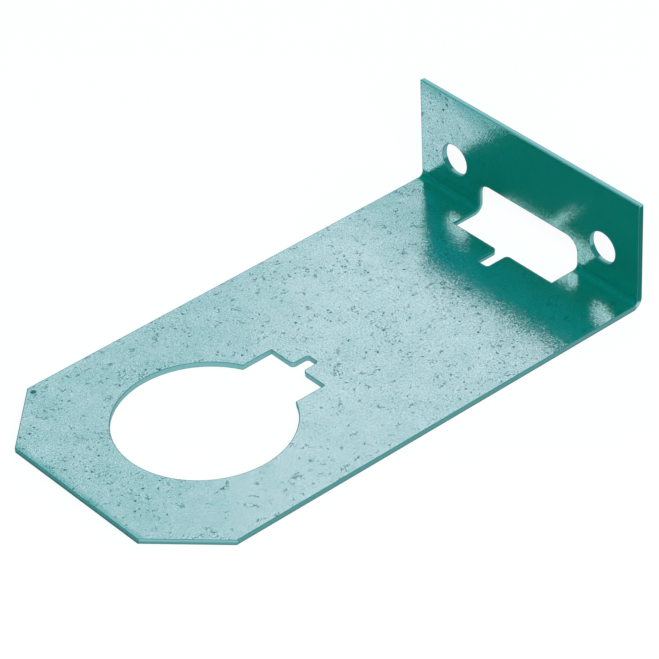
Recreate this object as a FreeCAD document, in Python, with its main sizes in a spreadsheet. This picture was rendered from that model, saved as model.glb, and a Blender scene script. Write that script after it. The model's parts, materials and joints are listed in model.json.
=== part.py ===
"""Railing anchor: one galvanised steel sheet, punched flat and folded once into an L.

The long leg is the plate, with a keyed post hole near its free end. The short leg is the upright
flange, with two fixing holes. A window is punched across the fold.

Frame, in millimetres: +X runs along the plate towards the flange, +Z is up, and the origin is on
the plate's underside, at the middle of the overall length and width.
"""

import FreeCAD, Part
import os

import Sketcher
from FreeCAD import Vector

NODE = "anchor_plate"

# Driving dimensions in millimetres: name, value, what it measures.
SIZES = [
    ("plate_length", 150.0, "free end to the back of the flange"),
    ("plate_width", 80.0, "across the plate and the flange"),
    ("flange_height", 31.5, "underside of the plate to the top of the flange"),
    ("sheet_thickness", 1.5, "gauge of the sheet"),
    ("bend_inner_radius", 1.5, "inside radius of the fold"),
    ("corner_cut", 16.5, "45 degree cut on each corner of the free end"),
    ("post_hole_diameter", 46.0, "round hole for the post"),
    ("post_hole_inset", 40.0, "free end to the centre of the post hole"),
    ("notch_width", 20.0, "key notch on the flange side of the post hole"),
    ("notch_reach", 30.0, "centre of the post hole to the end of the notch"),
    ("notch_slot_width", 3.8, "small slot in the end of the notch"),
    ("notch_slot_depth", 5.0, "end of the notch to the end of that slot"),
    ("window_width", 36.5, "window across the fold"),
    ("window_depth", 10.5, "back of the flange to the window's edge on the plate"),
    ("window_height", 10.0, "underside of the plate to the window's edge on the flange"),
    ("window_corner_radius", 4.0, "upper corners of the window"),
    ("window_slot_width", 3.8, "small slot in the window's edge on the plate"),
    ("window_slot_depth", 7.0, "window's edge on the plate to the end of that slot"),
    ("slot_end_radius", 0.8, "corners at the closed end of both slots"),
    ("slot_mouth_radius", 1.2, "corners at the open end of both slots"),
    ("fixing_hole_diameter", 9.0, "two round holes in the flange"),
    ("fixing_hole_spacing", 54.5, "between the centres of the fixing holes"),
    ("fixing_hole_height", 12.5, "underside of the plate to the centres of the fixing holes"),
]
SIZE = {name: value for name, value, meaning in SIZES}

# Ends of a sketch edge, its centre, and the sketch's own level axis and origin.
START, END, CENTRE = 1, 2, 3
LEVEL_AXIS = -1
ORIGIN = (-1, 1)

# A quarter round's middle, as a share of the way from its centre to the square corner.
ROUND_SHARE = 0.5 ** 0.5


class Outline:
    """A chain of level and upright edges in a sketch, with square or rounded corners.

    Each corner is (x, y, radius), where a radius of 0 leaves it square. Side i runs from corner i
    to the next one. A chain that is not closed leaves out the last side.
    """

    def __init__(self, sketch, corners, closed=True):
        self.sketch = sketch
        self.points = [Vector(x, y, 0) for x, y, radius in corners]
        self.radii = [radius for x, y, radius in corners]
        count = len(corners)
        self.sides = [self.add_side(i, (i + 1) % count) for i in range(count if closed else count - 1)]
        self.rounds = {}
        for i in range(0 if closed else 1, len(self.sides)):
            self.join_sides(i)

    def add_side(self, first, last):
        """A straight edge between two corners, cut back by their rounds."""
        along = (self.points[last] - self.points[first]).normalize()
        begin = self.points[first] + along * self.radii[first]
        finish = self.points[last] - along * self.radii[last]
        side = self.sketch.addGeometry(Part.LineSegment(begin, finish))
        rule(self.sketch, "Horizontal" if abs(along.x) > abs(along.y) else "Vertical", side)
        return side

    def join_sides(self, corner):
        """Joins the two sides at a corner, square or with a quarter round between them."""
        before = (self.sides[corner - 1], END)
        after = (self.sides[corner], START)
        if self.radii[corner] == 0:
            rule(self.sketch, "Coincident", *before, *after)
            return
        start = self.sketch.getPoint(*before)
        end = self.sketch.getPoint(*after)
        centre = start + end - self.points[corner]
        middle = centre + (self.points[corner] - centre) * ROUND_SHARE
        edge = self.sketch.addGeometry(Part.Arc(start, middle, end))
        rule(self.sketch, "Tangent", *before, *self.nearest_end(edge, start))
        rule(self.sketch, "Tangent", *self.nearest_end(edge, end), *after)
        self.rounds[corner] = edge

    def nearest_end(self, edge, point):
        """The end of a round edge that lies at the point."""
        gaps = {end: self.sketch.getPoint(edge, end).distanceToPoint(point) for end in (START, END)}
        return edge, min(gaps, key=gaps.get)


def rule(sketch, kind, *args):
    """Adds a geometric constraint to a sketch."""
    sketch.addConstraint(Sketcher.Constraint(kind, *args))


def measure(sketch, name, expression, kind, *args):
    """Adds a named dimension to a sketch and binds it to the driving dimensions."""
    index = sketch.addConstraint(Sketcher.Constraint(kind, *args))
    sketch.renameConstraint(index, name)
    sketch.setExpression(f"Constraints.{name}", expression)


def add_sizes(doc):
    """Makes the spreadsheet of driving dimensions."""
    sheet = doc.addObject("Spreadsheet::Sheet", "Sizes")
    for row, (name, value, meaning) in enumerate(SIZES, start=1):
        sheet.set(f"A{row}", name)
        sheet.set(f"B{row}", str(value))
        sheet.set(f"C{row}", meaning)
        sheet.setAlias(f"B{row}", name)
    doc.recompute()


def origin_plane(body, role):
    """The body's own origin plane with that role."""
    return next(plane for plane in body.Origin.OriginFeatures if plane.Role == role)


def add_sketch(body, name, role):
    """An empty sketch on one of the body's origin planes."""
    sketch = body.newObject("Sketcher::SketchObject", name)
    sketch.AttachmentSupport = [(origin_plane(body, role), "")]
    sketch.MapMode = "FlatFace"
    return sketch


def add_flange_sketch(body, name):
    """An empty sketch on the back of the flange: level is across the flange, upright is up it."""
    sketch = add_sketch(body, name, "YZ_Plane")
    sketch.setExpression("AttachmentOffset.Base.z", "Sizes.plate_length / 2")
    return sketch


def add_folded_sheet(body):
    """The L section, with both faces of the fold round, carried across the full width."""
    sketch = add_sketch(body, "SheetSection", "XZ_Plane")
    end = SIZE["plate_length"] / 2
    top = SIZE["flange_height"]
    gauge = SIZE["sheet_thickness"]
    inner = SIZE["bend_inner_radius"]
    section = Outline(sketch, [
        (-end, 0, 0),
        (end, 0, inner + gauge),
        (end, top, 0),
        (end - gauge, top, 0),
        (end - gauge, gauge, inner),
        (-end, gauge, 0),
    ])
    underside, back, edge = section.sides[0], section.sides[1], section.sides[5]
    outside, inside = section.rounds[1], section.rounds[4]
    rule(sketch, "Coincident", inside, CENTRE, outside, CENTRE)
    rule(sketch, "PointOnObject", underside, START, LEVEL_AXIS)
    half_length = "Sizes.plate_length / 2"
    measure(sketch, "free_end", half_length, "DistanceX", underside, START, *ORIGIN, end)
    measure(sketch, "flange_back", half_length, "DistanceX", *ORIGIN, back, START, end)
    measure(sketch, "flange_top", "Sizes.flange_height", "DistanceY", *ORIGIN, back, END, top)
    measure(sketch, "gauge", "Sizes.sheet_thickness", "DistanceY", edge, END, edge, START, gauge)
    measure(sketch, "bend_inside", "Sizes.bend_inner_radius", "Radius", inside, inner)
    pad = body.newObject("PartDesign::Pad", "FoldedSheet")
    pad.Profile = sketch
    pad.SideType = "Symmetric"
    pad.setExpression("Length", "Sizes.plate_width")
    return pad


def cut_corners(body, sheet):
    """The 45 degree cuts on the two upright edges of the free end."""
    front = min(vertex.X for vertex in sheet.Shape.Vertexes)
    upright_edges = []
    for index, edge in enumerate(sheet.Shape.Edges, start=1):
        ends = [vertex.Point for vertex in edge.Vertexes]
        at_front = all(abs(point.x - front) < Part.Precision.approximation() for point in ends)
        if at_front and abs(ends[0].z - ends[1].z) > Part.Precision.approximation():
            upright_edges.append(f"Edge{index}")
    chamfer = body.newObject("PartDesign::Chamfer", "FrontCorners")
    chamfer.Base = (sheet, upright_edges)
    chamfer.setExpression("Size", "Sizes.corner_cut")
    return chamfer


def plate_pocket(body, name, sketch):
    """Cuts a sketch on the underside up through the plate, and no higher."""
    pocket = body.newObject("PartDesign::Pocket", name)
    pocket.Profile = sketch
    pocket.Reversed = True
    pocket.setExpression("Length", "Sizes.sheet_thickness")
    return pocket


def slot_corners(mouth, end, half_width):
    """The four corners of a slot along the plate, from its left mouth round to its right mouth."""
    return [
        (mouth, half_width, SIZE["slot_mouth_radius"]),
        (end, half_width, SIZE["slot_end_radius"]),
        (end, -half_width, SIZE["slot_end_radius"]),
        (mouth, -half_width, SIZE["slot_mouth_radius"]),
    ]


def measure_slot(sketch, outline, width, depth, towards_flange):
    """Ties a slot's sides, end and round corners, for a slot whose left mouth is corner 2."""
    left_mouth, left, end, right = outline.sides[1:5]
    rule(sketch, "Symmetric", left, END, right, START, LEVEL_AXIS)
    rule(sketch, "Equal", outline.rounds[2], outline.rounds[5])
    measure(sketch, "slot_width", f"Sizes.{width}", "DistanceY", right, START, left, END, SIZE[width])
    ends = [left_mouth, START, end, START]
    if not towards_flange:
        ends = ends[2:] + ends[:2]
    measure(sketch, "slot_depth", f"Sizes.{depth}", "DistanceX", *ends, SIZE[depth])
    mouth_radius, end_radius = SIZE["slot_mouth_radius"], SIZE["slot_end_radius"]
    measure(sketch, "slot_mouth", "Sizes.slot_mouth_radius", "Radius", outline.rounds[2], mouth_radius)
    measure(sketch, "slot_end", "Sizes.slot_end_radius", "Radius", outline.rounds[3], end_radius)


def cut_post_hole(body):
    """The round post hole with its square key notch, and the small slot in the notch's end."""
    sketch = add_sketch(body, "PostHoleOutline", "XY_Plane")
    centre = SIZE["post_hole_inset"] - SIZE["plate_length"] / 2
    radius = SIZE["post_hole_diameter"] / 2
    half_notch = SIZE["notch_width"] / 2
    notch_end = centre + SIZE["notch_reach"]
    meeting = centre + (radius ** 2 - half_notch ** 2) ** 0.5
    outline = Outline(sketch, [
        (meeting, half_notch, 0),
        (notch_end, half_notch, 0),
        *slot_corners(notch_end, notch_end + SIZE["notch_slot_depth"], SIZE["notch_slot_width"] / 2),
        (notch_end, -half_notch, 0),
        (meeting, -half_notch, 0),
    ], closed=False)
    left, right = outline.sides[0], outline.sides[-1]
    start = sketch.getPoint(left, START)
    end = sketch.getPoint(right, END)
    hole = sketch.addGeometry(Part.Arc(start, Vector(centre - radius, 0, 0), end))
    rule(sketch, "Coincident", *outline.nearest_end(hole, start), left, START)
    rule(sketch, "Coincident", *outline.nearest_end(hole, end), right, END)
    rule(sketch, "PointOnObject", hole, CENTRE, LEVEL_AXIS)
    rule(sketch, "Symmetric", left, END, right, START, LEVEL_AXIS)
    from_middle = "Sizes.plate_length / 2 - Sizes.post_hole_inset"
    measure(sketch, "hole_place", from_middle, "DistanceX", hole, CENTRE, *ORIGIN, -centre)
    measure(sketch, "hole_size", "Sizes.post_hole_diameter / 2", "Radius", hole, radius)
    across = (right, START, left, END, SIZE["notch_width"])
    along = (hole, CENTRE, left, END, SIZE["notch_reach"])
    measure(sketch, "notch_width", "Sizes.notch_width", "DistanceY", *across)
    measure(sketch, "notch_reach", "Sizes.notch_reach", "DistanceX", *along)
    measure_slot(sketch, outline, "notch_slot_width", "notch_slot_depth", True)
    return plate_pocket(body, "PostHole", sketch)


def cut_window(body):
    """The window across the fold: one cut from the flange's back takes flange, fold and plate."""
    sketch = add_flange_sketch(body, "WindowOutline")
    side = SIZE["window_width"] / 2
    top = SIZE["window_height"]
    below = SIZE["sheet_thickness"]
    round_top = SIZE["window_corner_radius"]
    outline = Outline(sketch, [
        (side, -below, 0),
        (side, top, round_top),
        (-side, top, round_top),
        (-side, -below, 0),
    ])
    right, upper, left = outline.sides[:3]
    rule(sketch, "Equal", outline.rounds[1], outline.rounds[2])
    half_width = "Sizes.window_width / 2"
    measure(sketch, "right_side", half_width, "DistanceX", *ORIGIN, right, START, side)
    measure(sketch, "left_side", half_width, "DistanceX", left, END, *ORIGIN, side)
    measure(sketch, "window_top", "Sizes.window_height", "DistanceY", *ORIGIN, upper, START, top)
    measure(sketch, "run_out", "Sizes.sheet_thickness", "DistanceY", right, START, *ORIGIN, below)
    measure(sketch, "round_top", "Sizes.window_corner_radius", "Radius", outline.rounds[1], round_top)
    pocket = body.newObject("PartDesign::Pocket", "BendWindow")
    pocket.Profile = sketch
    pocket.setExpression("Length", "Sizes.window_depth")
    return pocket


def cut_window_slot(body):
    """The small slot in the window's edge on the plate, with its round mouth.

    The cut starts inside the window and is a round wider than the mouth on each side, so the
    mouth's rounds run out on the window's edge.
    """
    sketch = add_sketch(body, "WindowSlotOutline", "XY_Plane")
    mouth = SIZE["plate_length"] / 2 - SIZE["window_depth"]
    run_out = mouth + SIZE["sheet_thickness"]
    half_width = SIZE["window_slot_width"] / 2
    shoulder = half_width + 2 * SIZE["slot_mouth_radius"]
    outline = Outline(sketch, [
        (run_out, shoulder, 0),
        (mouth, shoulder, 0),
        *slot_corners(mouth, mouth - SIZE["window_slot_depth"], half_width),
        (mouth, -shoulder, 0),
        (run_out, -shoulder, 0),
    ])
    left, right = outline.sides[0], outline.sides[6]
    rule(sketch, "Symmetric", left, END, right, START, LEVEL_AXIS)
    window_edge = "Sizes.plate_length / 2 - Sizes.window_depth"
    mouth_half = "Sizes.window_slot_width / 2 + 2 * Sizes.slot_mouth_radius"
    measure(sketch, "window_edge", window_edge, "DistanceX", *ORIGIN, left, END, mouth)
    measure(sketch, "run_out", "Sizes.sheet_thickness", "DistanceX", left, END, left, START, run_out - mouth)
    measure(sketch, "shoulder", mouth_half, "DistanceY", *ORIGIN, left, END, shoulder)
    measure_slot(sketch, outline, "window_slot_width", "window_slot_depth", False)
    return plate_pocket(body, "WindowSlot", sketch)


def cut_fixing_holes(doc, body):
    """Two round holes through the flange, one on each side of the middle."""
    sketch = add_flange_sketch(body, "FixingHoleCentre")
    side = SIZE["fixing_hole_spacing"] / 2
    height = SIZE["fixing_hole_height"]
    radius = SIZE["fixing_hole_diameter"] / 2
    circle = sketch.addGeometry(Part.Circle(Vector(side, height, 0), Vector(0, 0, 1), radius))
    measure(sketch, "side", "Sizes.fixing_hole_spacing / 2", "DistanceX", *ORIGIN, circle, CENTRE, side)
    measure(sketch, "height", "Sizes.fixing_hole_height", "DistanceY", *ORIGIN, circle, CENTRE, height)
    measure(sketch, "size", "Sizes.fixing_hole_diameter / 2", "Radius", circle, radius)
    hole = body.newObject("PartDesign::Hole", "FixingHole")
    hole.Profile = sketch
    doc.recompute()
    hole.DrillPoint = "Flat"
    hole.setExpression("Diameter", "Sizes.fixing_hole_diameter")
    hole.setExpression("Depth", "Sizes.sheet_thickness")
    pair = body.newObject("PartDesign::Mirrored", "FixingHolePair")
    pair.Originals = [hole]
    pair.MirrorPlane = (origin_plane(body, "XZ_Plane"), [""])
    body.Tip = pair
    return pair


def check(doc, steps):
    """Stops the build if anything failed, a sketch is loose, or a cut took nothing away."""
    doc.recompute()
    for item in doc.Objects:
        if "Invalid" in item.State or "Error" in item.State:
            raise RuntimeError(f"{item.Name} is {item.State}")
        if item.isDerivedFrom("Sketcher::SketchObject") and not item.FullyConstrained:
            raise RuntimeError(f"{item.Name} is not fully constrained")
    for step in steps:
        if step.Shape.isNull() or not step.Shape.isValid():
            raise RuntimeError(f"{step.Name} has no valid shape")
    for before, after in zip(steps, steps[1:]):
        if after.Shape.Volume >= before.Shape.Volume:
            raise RuntimeError(f"{after.Name} takes nothing away")


def main():
    """Builds the anchor in the order of its making and writes it."""
    doc = FreeCAD.newDocument("RailingAnchor")
    add_sizes(doc)
    body = doc.addObject("PartDesign::Body", "AnchorPlate")
    body.Label = NODE
    body.Placement = FreeCAD.Placement()
    sheet = add_folded_sheet(body)
    doc.recompute()
    check(doc, [
        sheet,
        cut_corners(body, sheet),
        cut_post_hole(body),
        cut_window(body),
        cut_window_slot(body),
        cut_fixing_holes(doc, body),
    ])
    os.makedirs("parts", exist_ok=True)
    body.Shape.exportStep(f"parts/{body.Label}.step")


main()
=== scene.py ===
"""Railing anchor: a zinc coated steel sheet, punched flat, folded once and lit on a pale floor.

The sheet is worked out flat, as outlines and a grid of points, and then folded by one formula.
Everything is in metres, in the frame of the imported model: +X runs along the plate towards the
flange, +Y across the plate and +Z up.
"""

import json
import logging
import math
from dataclasses import dataclass
from enum import Enum
from functools import partial, reduce

import bpy
import numpy as np
from mathutils import Matrix, Vector
from mathutils.geometry import delaunay_2d_cdt


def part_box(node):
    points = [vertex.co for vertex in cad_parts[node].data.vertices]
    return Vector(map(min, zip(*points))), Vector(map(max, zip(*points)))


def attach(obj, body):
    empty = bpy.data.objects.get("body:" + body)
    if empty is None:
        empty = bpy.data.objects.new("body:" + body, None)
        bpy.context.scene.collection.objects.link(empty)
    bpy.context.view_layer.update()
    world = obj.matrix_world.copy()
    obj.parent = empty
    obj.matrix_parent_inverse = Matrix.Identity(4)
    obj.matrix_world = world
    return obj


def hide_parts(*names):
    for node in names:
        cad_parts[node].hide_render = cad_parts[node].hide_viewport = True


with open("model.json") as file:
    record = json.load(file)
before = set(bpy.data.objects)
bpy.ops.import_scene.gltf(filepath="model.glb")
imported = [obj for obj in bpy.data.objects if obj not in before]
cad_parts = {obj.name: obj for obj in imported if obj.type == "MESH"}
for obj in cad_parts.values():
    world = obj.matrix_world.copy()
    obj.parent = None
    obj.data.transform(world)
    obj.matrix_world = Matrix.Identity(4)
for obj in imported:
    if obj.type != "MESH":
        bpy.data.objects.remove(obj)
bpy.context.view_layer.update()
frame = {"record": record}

LOG = logging.getLogger("railing_anchor")

NODE = "anchor_plate"
BODY = "root"

MM = 1e-3
# Twice the area below which a triangle is a sliver along a straight side, in square metres.
SLIVER = 1e-12
# Distance below which two points of a face are one, in millimetres.
MERGE = 1e-7
# Names of the sheet's own attributes, which its finishes read.
FLAT_PLACE = "flat_place"
WALL_DEPTH = "wall_depth"
# Types of a node group's sockets, and the sockets of a Mix node that carry colours.
FLOAT = "NodeSocketFloat"
VECTOR = "NodeSocketVector"
MIX_INPUTS = (0, 6, 7)
MIX_OUTPUT = 2
# Middle of a random colour, which is taken off it to leave a lean either way.
MID_COLOUR = (0.5, 0.5, 0.5)
# Width of the waves along a ragged edge.
RAGGED_SIZE = 2.0 * MM

Colour = tuple[float, float, float]
Place = tuple[float, float, float]
Span = tuple[float, float]
Socket = bpy.types.NodeSocket


class Loop(Enum):
    """Which side of an outline the metal lies on."""

    RIM = 1
    HOLE = -1


class Face(Enum):
    """The two broad faces of the sheet, by the sign of their offset from its middle."""

    INSIDE = 1
    OUTSIDE = -1


class Finish(Enum):
    """The finishes of the sheet, by their place in its list of materials."""

    ZINC = 0
    CUT = 1


class Way(Enum):
    """The measures of a point on the sheet that its finishes read."""

    ACROSS = "across the sheet, positive on its left"
    DEPTH = "down the section of a punched edge, from 0 at the inside face to 1"
    ALONG = "along the flat sheet from its origin"
    PAST_END = "along the flat sheet from the free end"
    PAST_PLATE = "along the flat sheet from the start of the fold"
    PAST_FOLD = "along the flat sheet from the end of the fold"
    PAST_TOP = "along the flat sheet from the flange's top"


@dataclass(frozen=True)
class Corner:
    """A corner of an outline on the flat sheet.

    Args:
        along: Distance along the sheet, equal to X on the plate.
        across: Distance across the sheet, equal to Y.
        radius: Radius of the round, or 0 for a square corner.
    """

    along: float
    across: float
    radius: float = 0.0


@dataclass(frozen=True)
class PunchedEdge:
    """The section of a punched edge: a rolled upper rim, a smooth land and a torn lower part.

    Args:
        roll: Radius of the rim that the punch rolls over.
        land: Share of the gauge that is cut smooth before the metal tears.
        tear: How far the torn part stands back from the smooth land.
        lower: Radius of the lower rim.
        margin: Width of the flat strip kept beside each rim, which keeps the faces' shading flat.
        rim_points: Number of points round each rim.
    """

    roll: float = 0.14 * MM
    land: float = 0.45
    tear: float = 0.05 * MM
    lower: float = 0.10 * MM
    margin: float = 0.12 * MM
    rim_points: int = 6

    def profile(self, gauge: float) -> np.ndarray:
        """Works out the section from the inside face to the outside face.

        Each rim is a quarter circle, and the wall between them is a smooth land and a torn part
        joined by a short slope.

        Args:
            gauge: Thickness of the sheet.

        Returns:
            Rows of (distance into the metal, offset from the sheet's middle).
        """
        half = gauge / 2
        turn = np.linspace(0, math.pi / 2, self.rim_points)[:, None]
        upper = np.hstack([self.roll * (1 - np.sin(turn)), half - self.roll * (1 - np.cos(turn))])
        torn_from = half - self.roll - self.land * (gauge - self.roll)
        wall = np.array([[0.0, torn_from], [self.tear, torn_from - 2 * self.tear]])
        lower = np.hstack([
            self.tear + self.lower * (1 - np.cos(turn)),
            self.lower * (1 - np.sin(turn)) - half,
        ])
        first = [[self.roll + self.margin, half]]
        last = [[self.tear + self.lower + self.margin, -half]]
        return np.vstack([first, upper, wall, lower, last])


@dataclass(frozen=True)
class SheetSizes:
    """Sizes of the folded sheet in metres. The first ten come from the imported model."""

    free_end: float
    flange_back: float
    flange_top: float
    half_width: float
    gauge: float
    hole_centre: float
    hole_radius: float
    fixing_side: float
    fixing_height: float
    fixing_radius: float
    bend_inner: float = 1.5 * MM
    corner_cut: float = 16.5 * MM
    notch_half: float = 10.0 * MM
    notch_reach: float = 30.0 * MM
    notch_slot: float = 5.0 * MM
    slot_half: float = 1.9 * MM
    slot_end: float = 0.8 * MM
    slot_mouth: float = 1.2 * MM
    window_half: float = 18.25 * MM
    window_depth: float = 10.5 * MM
    window_height: float = 10.0 * MM
    window_round: float = 4.0 * MM
    window_slot: float = 7.0 * MM

    @classmethod
    def from_frame(cls, record: dict) -> "SheetSizes":
        """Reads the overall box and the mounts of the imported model.

        Args:
            record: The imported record.

        Returns:
            The sizes of the sheet.
        """
        low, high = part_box(NODE)
        mounts = {mount["name"]: mount for mount in record["mounts"]}
        post, fixing = mounts["post_hole"], mounts["fixing_holes"]
        return cls(
            free_end=low.x,
            flange_back=high.x,
            flange_top=high.z,
            half_width=high.y,
            gauge=post["dims"]["length_mm"] * MM,
            hole_centre=post["pos_m"][0],
            hole_radius=post["dims"]["r_mm"] * MM,
            fixing_side=fixing["dims"]["spacing_x_mm"] * MM / 2,
            fixing_height=fixing["pos_m"][2],
            fixing_radius=fixing["dims"]["hole_r_mm"] * MM,
        )

    @property
    def bend_middle(self) -> float:
        """Radius of the fold at the middle of the sheet."""
        return self.bend_inner + self.gauge / 2

    @property
    def bend_outer(self) -> float:
        """Radius of the fold's outer face."""
        return self.bend_inner + self.gauge

    @property
    def bend_from(self) -> float:
        """Where the fold starts along the flat sheet."""
        return self.flange_back - self.bend_outer

    @property
    def bend_to(self) -> float:
        """Where the fold ends along the flat sheet."""
        return self.bend_from + self.bend_middle * math.pi / 2

    @property
    def top(self) -> float:
        """Where the flange's top lies along the flat sheet."""
        return self.up_flange(self.flange_top)

    @property
    def shoulder(self) -> float:
        """Where the cut corners meet the long sides."""
        return self.free_end + self.corner_cut

    @property
    def window_edge(self) -> float:
        """Where the window starts on the plate."""
        return self.flange_back - self.window_depth

    def up_flange(self, height: float) -> float:
        """Distance along the flat sheet of a height on the flange."""
        return self.bend_to + height - self.bend_outer


@dataclass(frozen=True)
class Outline:
    """A closed line on the flat sheet, walked with the metal on its left.

    Args:
        points: Rows of (along, across), without a repeat of the first.
    """

    points: np.ndarray

    @classmethod
    def walked(cls, points: np.ndarray, loop: Loop) -> "Outline":
        """Turns a closed line so that the metal is on its left.

        Args:
            points: Rows of (along, across).
            loop: Whether the line is the sheet's rim or a hole in it.

        Returns:
            The outline.
        """
        ahead = np.roll(points, -1, axis=0)
        area = np.sum(points[:, 0] * ahead[:, 1] - ahead[:, 0] * points[:, 1])
        return cls(points if area * loop.value > 0 else points[::-1])

    def inset(self, distance: float) -> np.ndarray:
        """Moves every point into the metal, square to both of its neighbouring sides.

        Args:
            distance: How far to move.

        Returns:
            The moved points.
        """
        ahead = np.roll(self.points, -1, axis=0) - self.points
        ahead /= np.linalg.norm(ahead, axis=1, keepdims=True)
        left = np.stack([-ahead[:, 1], ahead[:, 0]], axis=1)
        before = np.roll(left, 1, axis=0)
        mitre = (left + before) / (1 + np.sum(left * before, axis=1, keepdims=True))
        return self.points + distance * mitre


def inside(points: np.ndarray, loops: list[np.ndarray]) -> np.ndarray:
    """Tells which points lie in the metal, by counting the sides that a ray from each crosses.

    Args:
        points: Rows of (along, across).
        loops: Closed lines, the rim and the holes.

    Returns:
        A mask with one value for each point.
    """
    crossings = np.zeros(len(points), dtype=int)
    for loop in loops:
        start, end = loop, np.roll(loop, -1, axis=0)
        spans = (start[:, 1] > points[:, 1:]) != (end[:, 1] > points[:, 1:])
        rise = end[:, 1] - start[:, 1]
        safe = np.where(rise == 0, 1, rise)
        share = (points[:, 1:] - start[:, 1]) / safe
        meets = start[:, 0] + share * (end[:, 0] - start[:, 0])
        crossings += np.sum(spans & (meets > points[:, :1]), axis=1)
    return crossings % 2 == 1


def add_object(name: str, data: bpy.types.ID) -> bpy.types.Object:
    """Adds an object to the scene.

    Args:
        name: Its name.
        data: Its mesh, lamp or camera.

    Returns:
        The object.
    """
    thing = bpy.data.objects.new(name, data)
    bpy.context.scene.collection.objects.link(thing)
    return thing


@dataclass
class FoldedSheet:
    """The anchor itself: one sheet with its outlines, its fold and its punched edges.

    Args:
        sizes: Sizes of the sheet.
        edge: Section of its punched edges.
        step: Spacing of points along an outline.
        round_steps: Number of steps round a small quarter corner.
        circle_steps: Least number of steps round a circle.
        bend_steps: Number of steps round the fold.
        grid: Spacing of the points inside the faces.
        cut_from: First row of the edge's section that is bare, halfway round the rolled rim.
        crease: Angle above which two faces meet in a sharp edge, in degrees.
    """

    sizes: SheetSizes
    edge: PunchedEdge
    step: float = 1.0 * MM
    round_steps: int = 8
    circle_steps: int = 48
    bend_steps: int = 18
    grid: float = 3.0 * MM
    cut_from: int = 4
    crease: float = 30.0

    @property
    def bend_rows(self) -> np.ndarray:
        """Places along the flat sheet where it is creased finely to follow the fold."""
        return np.linspace(self.sizes.bend_from, self.sizes.bend_to, self.bend_steps + 1)

    def fold(self, flat: np.ndarray, offset: np.ndarray | float) -> np.ndarray:
        """Folds points of the flat sheet.

        A point keeps its place on the plate up to the fold, turns round the fold's axis at its own
        radius for as far as the fold reaches, and then goes straight up the flange.

        Args:
            flat: Rows of (along, across).
            offset: Distance from the sheet's middle, positive towards the inside of the L.

        Returns:
            Rows of (x, y, z).
        """
        size = self.sizes
        along = flat[:, 0]
        turn = np.clip((along - size.bend_from) / size.bend_middle, 0, math.pi / 2)
        past = np.maximum(along - size.bend_to, 0)
        radius = size.bend_middle - offset
        x = np.minimum(along, size.bend_from) + radius * np.sin(turn)
        z = size.bend_outer - radius * np.cos(turn) + past
        return np.stack([x, flat[:, 1], z], axis=1)

    def straight(self, start: np.ndarray, end: np.ndarray) -> np.ndarray:
        """Points between two ends, evenly spaced, with one more on each row of the fold.

        Args:
            start: First end.
            end: Last end.

        Returns:
            The points, without the two ends.
        """
        run = end - start
        count = max(int(math.ceil(np.linalg.norm(run) / self.step)), 1)
        shares = np.linspace(0, 1, count + 1)
        if abs(run[0]) > self.step:
            rows = (self.bend_rows - start[0]) / run[0]
            near = np.min(np.abs(shares[:, None] - rows[None, :]), axis=1) * abs(run[0])
            shares = np.concatenate([shares[near > self.step / 4], rows])
        shares = np.sort(shares[(shares > 0) & (shares < 1)])
        return start + shares[:, None] * run

    def chain(self, corners: list[Corner], closed: bool = True) -> np.ndarray:
        """Points along straight sides with square or rounded corners.

        A rounded corner is a circle's arc that touches both sides, from the side before it to the
        side after it.

        Args:
            corners: The corners in order.
            closed: Whether a last side goes back to the first corner.

        Returns:
            Rows of (along, across).
        """
        places = np.array([[corner.along, corner.across] for corner in corners])
        count = len(corners)
        rounds = []
        for i, corner in enumerate(corners):
            if corner.radius == 0:
                rounds.append(places[i:i + 1])
                continue
            back = places[i - 1] - places[i]
            ahead = places[(i + 1) % count] - places[i]
            back /= np.linalg.norm(back)
            ahead /= np.linalg.norm(ahead)
            half = math.acos(np.dot(back, ahead)) / 2
            centre = places[i] + (back + ahead) * corner.radius / math.sin(2 * half)
            share = np.linspace(-1, 1, self.round_steps + 1)[:, None] * (math.pi / 2 - half)
            axis = -(back + ahead) / np.linalg.norm(back + ahead)
            side = (ahead - back) / np.linalg.norm(ahead - back)
            rounds.append(centre + corner.radius * (np.cos(share) * axis + np.sin(share) * side))
        points = []
        for i in range(count):
            points.append(rounds[i])
            if closed or i < count - 1:
                points.append(self.straight(rounds[i][-1], rounds[(i + 1) % count][0]))
        return np.concatenate(points)

    def arc(self, centre: Span, radius: float, start: float, sweep: float) -> np.ndarray:
        """Points on a circle, without the last one.

        Args:
            centre: Centre on the flat sheet, along and across.
            radius: Radius.
            start: Angle of the first point.
            sweep: Angle to the last point.

        Returns:
            Rows of (along, across).
        """
        count = max(int(math.ceil(abs(sweep) * radius / self.step)), self.circle_steps)
        angle = start + sweep * np.arange(count) / count
        return np.array(centre) + radius * np.stack([np.cos(angle), np.sin(angle)], axis=1)

    def slot(self, mouth: float, end: float) -> list[Corner]:
        """The corners of a small slot on the centre line, from its left mouth to its right one."""
        size = self.sizes
        return [
            Corner(mouth, size.slot_half, size.slot_mouth),
            Corner(end, size.slot_half, size.slot_end),
            Corner(end, -size.slot_half, size.slot_end),
            Corner(mouth, -size.slot_half, size.slot_mouth),
        ]

    def rim(self) -> Outline:
        """The sheet's own outline, with its two cut corners at the free end."""
        size = self.sizes
        wide, narrow = size.half_width, size.half_width - size.corner_cut
        return Outline.walked(self.chain([
            Corner(size.free_end, -narrow),
            Corner(size.shoulder, -wide),
            Corner(size.top, -wide),
            Corner(size.top, wide),
            Corner(size.shoulder, wide),
            Corner(size.free_end, narrow),
        ]), Loop.RIM)

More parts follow.
